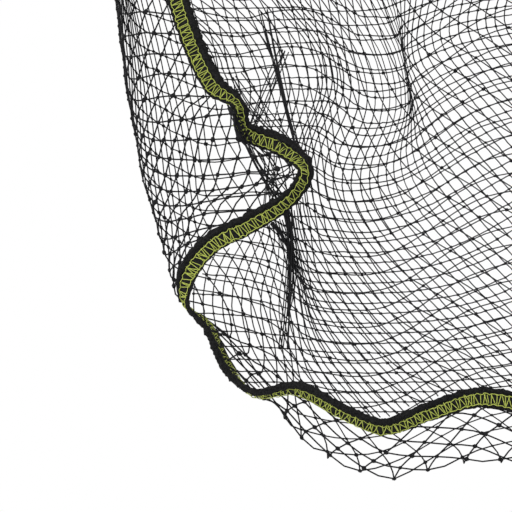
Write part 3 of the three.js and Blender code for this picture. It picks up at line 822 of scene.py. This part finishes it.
# %% Thread of the handle stud
STUD_RADIUS = 4.76
CREST_RADIUS = 0.36
CREST_SUNK = 0.14
THREAD_PITCH = 1.27
THREAD_TOP = -0.9
THREAD_BOTTOM = -13.0
CREST_STEPS = 20
CREST_SIDES = 6
crest_turns = (THREAD_TOP - THREAD_BOTTOM) / THREAD_PITCH
crest_turn = np.linspace(0, crest_turns, int(crest_turns * CREST_STEPS))
crest_angle = 2 * np.pi * crest_turn
crest_out = np.stack([np.cos(crest_angle), np.sin(crest_angle), np.zeros_like(crest_angle)], axis=-1)
crest = crest_out * (STUD_RADIUS - CREST_SUNK)
crest[:, 2] = THREAD_BOTTOM + THREAD_PITCH * crest_turn
crest_parts = tubes(crest[None], crest_out[None], CREST_RADIUS, CREST_SIDES)
stud_thread = make_piece("stud_thread", *crest_parts)

# %% Side band netting
# Knots stand at the whole numbers of both families, and the last column is the first one again.
KNOT_PULLED = 1.6
points, faces = join_parts([section_parts, slant_parts, *crease_parts])
side_band_strands = make_piece("side_band_strands", points, *faces)

knotted = slant_inside.copy()
knotted[:, 1::COARSE_SAMPLES] = False
knotted[:, -1] = False
centres = slant_lines[knotted]
facing = slant_normals[knotted]
along = unit(np.gradient(slant_lines, axis=1))[knotted]
drawn = pulled(slant_cells[knotted])[:, None, None] ** KNOT_PULLED
grown = COARSE_KNOT * (drawn + crooked((len(centres), 1, 1), COARSE_KNOTS_DIFFER))
points, faces = knots_at(centres, along, unit(np.cross(facing, along)), facing, grown)
side_band_knots = make_piece("side_band_knots", points, faces)
print("coarse netting", len(centres), "knots")

# %% [markdown]
# A binding tape covers the seam. It is a narrow black woven tape folded over both edges of netting, with a
# lumpy cord along each side, oversewn with lime thread. The cords are fatter where the netting under them
# is gathered. The tape here is a flat closed tube: its section turns with the seam, and it sways a little.

# %% The tape's strip
TAPE_STEP = 1.5
TAPE_HALF = 3.9
TAPE_THIN = 0.75
TAPE_SIDES = 14
TAPE_ROUND_ACROSS, TAPE_ROUND_OUT = 0.7, 0.8
SWAY, SWAY_PERIOD = 0.25, 37
tape_places = np.linspace(0, SEAM_LENGTH, int(SEAM_LENGTH / TAPE_STEP), endpoint=False)


def smooth_noise(length, period, seed_shift=0.0):
    """A sum of four sines along a length in mm, about -1 to 1, with no pattern that repeats by eye."""
    turns = np.array([1.0, 1.73, 2.57, 3.91]) / period
    start = np.array([0.3, 2.1, 4.4, 5.2]) + seed_shift
    return np.sin(2 * np.pi * length[:, None] * turns + start) @ np.array([0.4, 0.3, 0.2, 0.1])


def ring_faces(rings, sides):
    """Quads of a tube whose rings close into a loop."""
    index = np.arange(rings * sides).reshape(rings, sides)
    there = np.roll(index, -1, 0)
    return np.stack([index, np.roll(index, -1, 1), np.roll(there, -1, 1), there], axis=-1).reshape(-1, 4)


centre, _, across, normal = tape_frame(tape_places)
section_angle = 2 * np.pi * np.arange(TAPE_SIDES) / TAPE_SIDES
cosine, sine = np.cos(section_angle), np.sin(section_angle)
flat_across = np.sign(cosine) * np.abs(cosine) ** TAPE_ROUND_ACROSS * TAPE_HALF
flat_out = np.sign(sine) * np.abs(sine) ** TAPE_ROUND_OUT * TAPE_THIN
sway = smooth_noise(tape_places, SWAY_PERIOD)[:, None, None] * SWAY * across[:, None]
points = centre[:, None] + flat_across[:, None] * across[:, None] + flat_out[:, None] * normal[:, None] + sway
seam_tape = make_piece("seam_tape", points.reshape(-1, 3), ring_faces(len(tape_places), TAPE_SIDES))

# %% The cords along the tape's two sides
# seam row, radius of the cord on the panel's side, radius of the cord on the band's side, and how far the
# lime stitches are moved towards the band
CORD_SIZES = np.array([
    (0, 1.6, 0.9, 0.4), (2, 2.0, 0.8, 0.8), (4, 2.1, 0.7, 0.9), (6, 1.7, 0.8, 0.6), (7, 1.0, 1.1, 0),
    (8, 0.6, 1.5, -0.6), (10, 0.6, 1.5, -0.7), (12, 1.8, 0.8, 0.4), (14, 1.9, 0.6, 0.8), (17, 1.5, 0.5, 0.8),
    (20, 1.0, 0.8, 0.1), (26, 1.1, 0.9, 0), (32, 1.2, 1.0, 0),
])
CORD_STEP = 1.0
CORD_SIDES = 8
CORD_INSET = 0.2
# Each of these is how much, and over how many millimetres.
BIG_LUMPS, BIG_PERIOD = 0.26, 6.1
SMALL_LUMPS, SMALL_PERIOD = 0.16, 2.3
WANDER_ACROSS, ACROSS_PERIOD = 0.3, 9
WANDER_OUT, OUT_PERIOD = 0.25, 7
TWIST_RATE = 0.9
RIDGE = 0.12
cord_places = np.linspace(0, SEAM_LENGTH, int(SEAM_LENGTH / CORD_STEP), endpoint=False)


def cord_sizes(places):
    """The radii of the two cords and the shift of the stitches, at places along the seam."""
    return closed_curve(SEAM_KNOTS[CORD_SIZES[:, 0].astype(int)], SEAM_LENGTH, CORD_SIZES[:, 1:], places)


def cord_along(side, radius, shift):
    """A lumpy closed tube along one side of the tape: its radius and centre wander by smooth noise, and its
    section, 1 + ridge cos 2a, turns along the seam."""
    centre, _, across, normal = tape_frame(cord_places)
    lumps = 1 + BIG_LUMPS * smooth_noise(cord_places, BIG_PERIOD, shift)
    lumps = lumps + SMALL_LUMPS * smooth_noise(cord_places, SMALL_PERIOD, 2 * shift)
    middle = centre + across * side * (TAPE_HALF - CORD_INSET)
    middle = middle + across * WANDER_ACROSS * smooth_noise(cord_places, ACROSS_PERIOD, shift)[:, None]
    middle = middle + normal * WANDER_OUT * smooth_noise(cord_places, OUT_PERIOD, 3 * shift)[:, None]
    angle = 2 * np.pi * np.arange(CORD_SIDES) / CORD_SIDES
    turned = angle[None] + cord_places[:, None] * TWIST_RATE
    size = (radius * lumps)[:, None] * (1 + RIDGE * np.cos(2 * turned))
    ring = (np.cos(turned) * size)[..., None] * across[:, None]
    ring = ring + (np.sin(turned) * size)[..., None] * normal[:, None]
    return middle[:, None] + ring


cord_faces = ring_faces(len(cord_places), CORD_SIDES)
cord_radii = cord_sizes(cord_places)
points, faces = join_parts([
    (cord_along(-1, cord_radii[:, 0], 0.7).reshape(-1, 3), cord_faces),
    (cord_along(1, cord_radii[:, 1], 1.9).reshape(-1, 3), cord_faces),
])
seam_cords = make_piece("seam_cords", points, *faces)

# %% [markdown]
# The lime thread is one tube for each stitch. A bar goes from one side of the tape to the other over its
# face, rises over the tape and dips in where the needle went through. There are three sets of bars, which
# lean by different amounts and cross, and a run of thread along each side. Front and back are sewn alike.

# %% Lime stitches
THREAD_RADIUS = 0.2
STITCH_PITCH = 3.6
STITCH_REACH = 2.5
THREAD_RISE = 0.5
THREAD_BASE = 0.5
THREAD_SIDES = 4
STITCH_UNEVEN = 0.12
stitch_count = int(SEAM_LENGTH / STITCH_PITCH)
stitch_places = (np.arange(stitch_count) + crooked(stitch_count, STITCH_UNEVEN)) * SEAM_LENGTH / stitch_count


def on_tape(place, offset, height):
    """Points at places along the tape, an offset across it and a height out of it, all of one shape. The
    offset counts from where the cords' sizes put the middle of the stitches."""
    centre, _, across, normal = tape_frame(place.ravel())
    shift = cord_sizes(place.ravel())[:, 2:]
    points = centre + across * (offset.reshape(-1, 1) + shift) + normal * height.reshape(-1, 1)
    return points.reshape(*place.shape, 3), normal.reshape(*place.shape, 3)


# Lean and shift along the tape of each set of bars.
BAR_SETS = ((0.7, 0.0), (-0.5, 1.1), (STITCH_PITCH * 0.75, 2.3))
BAR_SAMPLES = 6
BAR_ENDS_UNEVEN = 0.4
BAR_LONGER = 1.1
BAR_UNEVEN = 0.08
BAR_FLAT_TOP = 0.4
BAR_CROOKED = 0.04


def bars(lean, shift, face):
    """Threads from side to side; lean is how far along the tape each one goes. Height is the base plus the
    rise times sin(pi t) to the power 0.4, which makes a half wave with a flat top."""
    t = np.linspace(0, 1, BAR_SAMPLES)
    ends = crooked((stitch_count, 2), BAR_ENDS_UNEVEN)
    place = stitch_places[:, None] + shift + lean * (t - 0.5) + ends[:, :1] * (1 - t) + ends[:, 1:] * t
    reach = STITCH_REACH * (BAR_LONGER + crooked((stitch_count, 1), BAR_UNEVEN))
    offset = (2 * t - 1) * reach
    height = THREAD_BASE + THREAD_RISE * np.sin(np.pi * t) ** BAR_FLAT_TOP
    height = (height + crooked((stitch_count, 1), BAR_UNEVEN)) * face
    lines, normals = on_tape(place, offset, height + crooked(place.shape, BAR_CROOKED))
    return tubes(lines, normals, THREAD_RADIUS, THREAD_SIDES)


RUN_STEP = 1.1
RUN_INSET = 0.1
RUN_WAVE = 0.3
RUN_HEIGHT = 0.25
RUN_RISE = 0.2
RUN_CROOKED = 0.16


def side_runs(side, face):
    """A thread along one side. It goes in and out by a sine wave and up and down by a cosine wave, with one
    wave for each stitch."""
    place = np.arange(0, SEAM_LENGTH + RUN_STEP, RUN_STEP)[None]
    angle = place * 2 * np.pi / STITCH_PITCH
    offset = side * (STITCH_REACH - RUN_INSET) + RUN_WAVE * np.sin(angle)
    height = face * (TAPE_THIN + RUN_HEIGHT + RUN_RISE * np.cos(angle))
    lines, normals = on_tape(place, offset + crooked(place.shape, RUN_CROOKED), height)
    return tubes(lines, normals, THREAD_RADIUS, THREAD_SIDES)


stitch_parts = []
for face in (1, -1):
    stitch_parts += [bars(lean, shift, face) for lean, shift in BAR_SETS]
    stitch_parts += [side_runs(side, face) for side in (1, -1)]
points, faces = join_parts(stitch_parts)
seam_stitches = make_piece("seam_stitches", points, *faces)

# %% [markdown]
# Materials are procedural. Twine, tape, plastic and metal all have a grain, so one node group makes it for
# every material, each with a scale of its own. A fine noise moves the colour from dark to light and raises
# the surface a little, as fibre fuzz does. A coarse one, the mottle, makes the surface rougher in places.

# %% Node groups
def make_group(name, inputs, outputs):
    """An empty shader node group with named float inputs and named outputs."""
    group = bpy.data.node_groups.new(name, "ShaderNodeTree")
    for label, value in inputs:
        socket = group.interface.new_socket(label, in_out="INPUT", socket_type="NodeSocketFloat")
        socket.default_value = value
    for label, kind in outputs:
        group.interface.new_socket(label, in_out="OUTPUT", socket_type=kind)
    ends = group.nodes.new("NodeGroupInput"), group.nodes.new("NodeGroupOutput")
    return group, ends


def add_node(tree, kind, **values):
    """A node with properties set, or inputs set where the name is an input's."""
    node = tree.nodes.new(kind)
    for key, value in values.items():
        if key in node.inputs:
            node.inputs[key].default_value = value
        else:
            setattr(node, key, value)
    return node


USUAL_GRAIN = 900.0
MOTTLE_SCALE = 60.0
GRAIN_LOW, GRAIN_HIGH = 0.3, 0.7


def grain_group():
    """Mask is a fine noise on Object coordinates, spread to run from 0 to 1. Mottle is a coarse noise."""
    group, (start, end) = make_group(
        "grain", [("Scale", USUAL_GRAIN)], [("Mask", "NodeSocketFloat"), ("Mottle", "NodeSocketFloat")])
    place = add_node(group, "ShaderNodeTexCoord")
    fine = add_node(group, "ShaderNodeTexNoise", Detail=4.0, Roughness=0.6)
    coarse = add_node(group, "ShaderNodeTexNoise", Detail=2.0, Scale=MOTTLE_SCALE)
    spread = add_node(group, "ShaderNodeMapRange")
    spread.inputs["From Min"].default_value = GRAIN_LOW
    spread.inputs["From Max"].default_value = GRAIN_HIGH
    for noise in (fine, coarse):
        group.links.new(place.outputs["Object"], noise.inputs["Vector"])
    group.links.new(start.outputs["Scale"], fine.inputs["Scale"])
    group.links.new(fine.outputs["Fac"], spread.inputs["Value"])
    group.links.new(spread.outputs["Result"], end.inputs["Mask"])
    group.links.new(coarse.outputs["Fac"], end.inputs["Mottle"])
    return group


GRAIN = grain_group()
LESS_ROUGH, MORE_ROUGH = 0.1, 0.12
BUMP_DISTANCE = 0.0003


def linear(srgb):
    """Linear colour from three sRGB numbers out of 255: c / 12.92 where c is small, and elsewhere
    (c + 0.055) / 1.055 to the power 2.4."""
    c = np.array(srgb) / 255
    return tuple(float(v) for v in np.where(c <= 0.04045, c / 12.92, ((c + 0.055) / 1.055) ** 2.4))


def make_material(name, dark, light, roughness, grain_scale, bump=0.3, metallic=0.0, shine=0.5):
    """Principled material: colour goes from dark to light by the grain's mask, and a bump follows it. The
    roughness goes from a little less to a little more by the mottle."""
    material = bpy.data.materials.new(name)
    material.use_nodes = True
    tree = material.node_tree
    shader = tree.nodes["Principled BSDF"]
    grain = tree.nodes.new("ShaderNodeGroup")
    grain.node_tree = GRAIN
    grain.inputs["Scale"].default_value = grain_scale
    mix = add_node(tree, "ShaderNodeMix", data_type="RGBA")
    mix.inputs["A"].default_value = (*linear(dark), 1)
    mix.inputs["B"].default_value = (*linear(light), 1)
    rough = add_node(tree, "ShaderNodeMapRange")
    rough.inputs["To Min"].default_value = roughness - LESS_ROUGH
    rough.inputs["To Max"].default_value = min(roughness + MORE_ROUGH, 1)
    lift = add_node(tree, "ShaderNodeBump", Strength=bump, Distance=BUMP_DISTANCE)
    tree.links.new(grain.outputs["Mask"], mix.inputs["Factor"])
    tree.links.new(mix.outputs["Result"], shader.inputs["Base Color"])
    tree.links.new(grain.outputs["Mottle"], rough.inputs["Value"])
    tree.links.new(rough.outputs["Result"], shader.inputs["Roughness"])
    tree.links.new(grain.outputs["Mask"], lift.inputs["Height"])
    tree.links.new(lift.outputs["Normal"], shader.inputs["Normal"])
    shader.inputs["Metallic"].default_value = metallic
    shader.inputs["Specular IOR Level"].default_value = shine
    return material


# %% [markdown]
# The nettings, the tape and the block are nearly black and dull, so they differ by their grain more than by
# their colour. The thread is a dull lime, the hoop is a dark satin coating, and the stud is bare metal.

# %% Materials
coarse_twine = make_material("coarse_twine", (10, 10, 12), (38, 38, 40), 0.72, 1400, shine=0.1)
fine_twine = make_material("fine_twine", (12, 12, 14), (42, 42, 44), 0.72, 1700, shine=0.1)
black_tape = make_material("black_tape", (6, 6, 7), (38, 38, 38), 0.8, 1100, bump=0.8, shine=0.08)
lime_thread = make_material("lime_thread", (138, 150, 50), (204, 214, 112), 0.7, 1500, bump=0.6, shine=0.25)
hoop_finish = make_material("hoop_finish", (24, 25, 27), (38, 39, 41), 0.42, 700, bump=0.15, metallic=0.4)
block_plastic = make_material("block_plastic", (22, 23, 25), (40, 41, 43), 0.55, 1600, bump=0.35)
stud_metal = make_material("stud_metal", (168, 170, 172), (198, 200, 202), 0.32, 900, bump=0.1, metallic=1.0)

# %% [markdown]
# The nettings and the tape take the place of three plain solids. The hoop, the
# block and the stud keep their solids and get a finish. The stud's thread is added to it.

# %% Pieces on the frame
BAND_PIECES = [side_band_strands, side_band_knots, hoop_lacing]
PANEL_PIECES = [base_panel_strands, base_panel_knots, pleat_strands]
SEAM_PIECES = [seam_tape, seam_cords, seam_stitches]
finishes = [
    (BAND_PIECES, coarse_twine, "side_band", "coarse_netting"),
    (PANEL_PIECES, fine_twine, "base_panel", "fine_netting"),
    (SEAM_PIECES, black_tape, "seam_binding", "binding_tape"),
]
for pieces, finish, node, slot in finishes:
    for piece in pieces:
        piece.data.materials.append(lime_thread if piece is seam_stitches else finish)
        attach(piece, "root")
        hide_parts(node)
for node, finish in (("hoop", hoop_finish), ("head_block", block_plastic), ("handle_stud", stud_metal)):
    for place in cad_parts[node].material_slots:
        place.material = finish
stud_thread.data.materials.append(stud_metal)
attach(stud_thread, "root")

# %% [markdown]
# The light is soft and even, as in a white studio: a pale world, one big light from the front and above,
# and one from behind. The camera, reflections and clear things see pure white behind the net. Its dull
# surfaces are lit by the soft part of the world. A sheet of pale paper lies well below the bag as a floor.

# %% Light and floor
WORLD_LIGHT = 0.75
WHITE = (1, 1, 1, 1)
scene = bpy.context.scene
scene.view_settings.view_transform = "Standard"
world = bpy.data.worlds.new("studio")
world.use_nodes = True
scene.world = world
tree = world.node_tree
tree.nodes.clear()
soft = add_node(tree, "ShaderNodeBackground", Color=WHITE, Strength=WORLD_LIGHT)
white = add_node(tree, "ShaderNodeBackground", Color=WHITE, Strength=1.0)
path = add_node(tree, "ShaderNodeLightPath")
seen = add_node(tree, "ShaderNodeMath", operation="MAXIMUM")
clear = add_node(tree, "ShaderNodeMath", operation="MAXIMUM")
mix = add_node(tree, "ShaderNodeMixShader")
output = add_node(tree, "ShaderNodeOutputWorld")
tree.links.new(path.outputs["Is Camera Ray"], seen.inputs[0])
tree.links.new(path.outputs["Is Glossy Ray"], seen.inputs[1])
tree.links.new(seen.outputs[0], clear.inputs[0])
tree.links.new(path.outputs["Is Transmission Ray"], clear.inputs[1])
tree.links.new(clear.outputs[0], mix.inputs["Fac"])
tree.links.new(soft.outputs[0], mix.inputs[1])
tree.links.new(white.outputs[0], mix.inputs[2])
tree.links.new(mix.outputs[0], output.inputs["Surface"])


def add_light(name, place, look_at, size, power):
    """A square area light that faces a point: tilt is the angle off straight down, turn is that about z."""
    data = bpy.data.lights.new(name, "AREA")
    data.size = size
    data.energy = power
    light = bpy.data.objects.new(name, data)
    scene.collection.objects.link(light)
    offset = np.array(place) - np.array(look_at)
    light.location = place
    turn = math.atan2(offset[0], -offset[1])
    tilt = math.acos(offset[2] / np.linalg.norm(offset))
    light.rotation_euler = (tilt, 0, turn)
    return light


lights = [
    add_light("front_light", (-0.9, -1.5, 0.5), (-0.1, 0, -0.5), 1.2, 22),
    add_light("back_light", (0.9, 1.4, 0.4), (0, 0, -0.4), 1.2, 12),
]

FLOOR_HALF = 1.1
FLOOR_HEIGHT = -0.8
floor_mesh = bpy.data.meshes.new("floor")
round_floor = ((-1, -1), (1, -1), (1, 1), (-1, 1))
floor_corners = [(x * FLOOR_HALF, y * FLOOR_HALF, FLOOR_HEIGHT) for x, y in round_floor]
floor_mesh.from_pydata(floor_corners, [], [(0, 1, 2, 3)])
floor = bpy.data.objects.new("floor", floor_mesh)
scene.collection.objects.link(floor)
floor_paper = make_material("floor_paper", (236, 236, 236), (242, 242, 242), 0.85, 40, bump=0.05)
floor_mesh.materials.append(floor_paper)
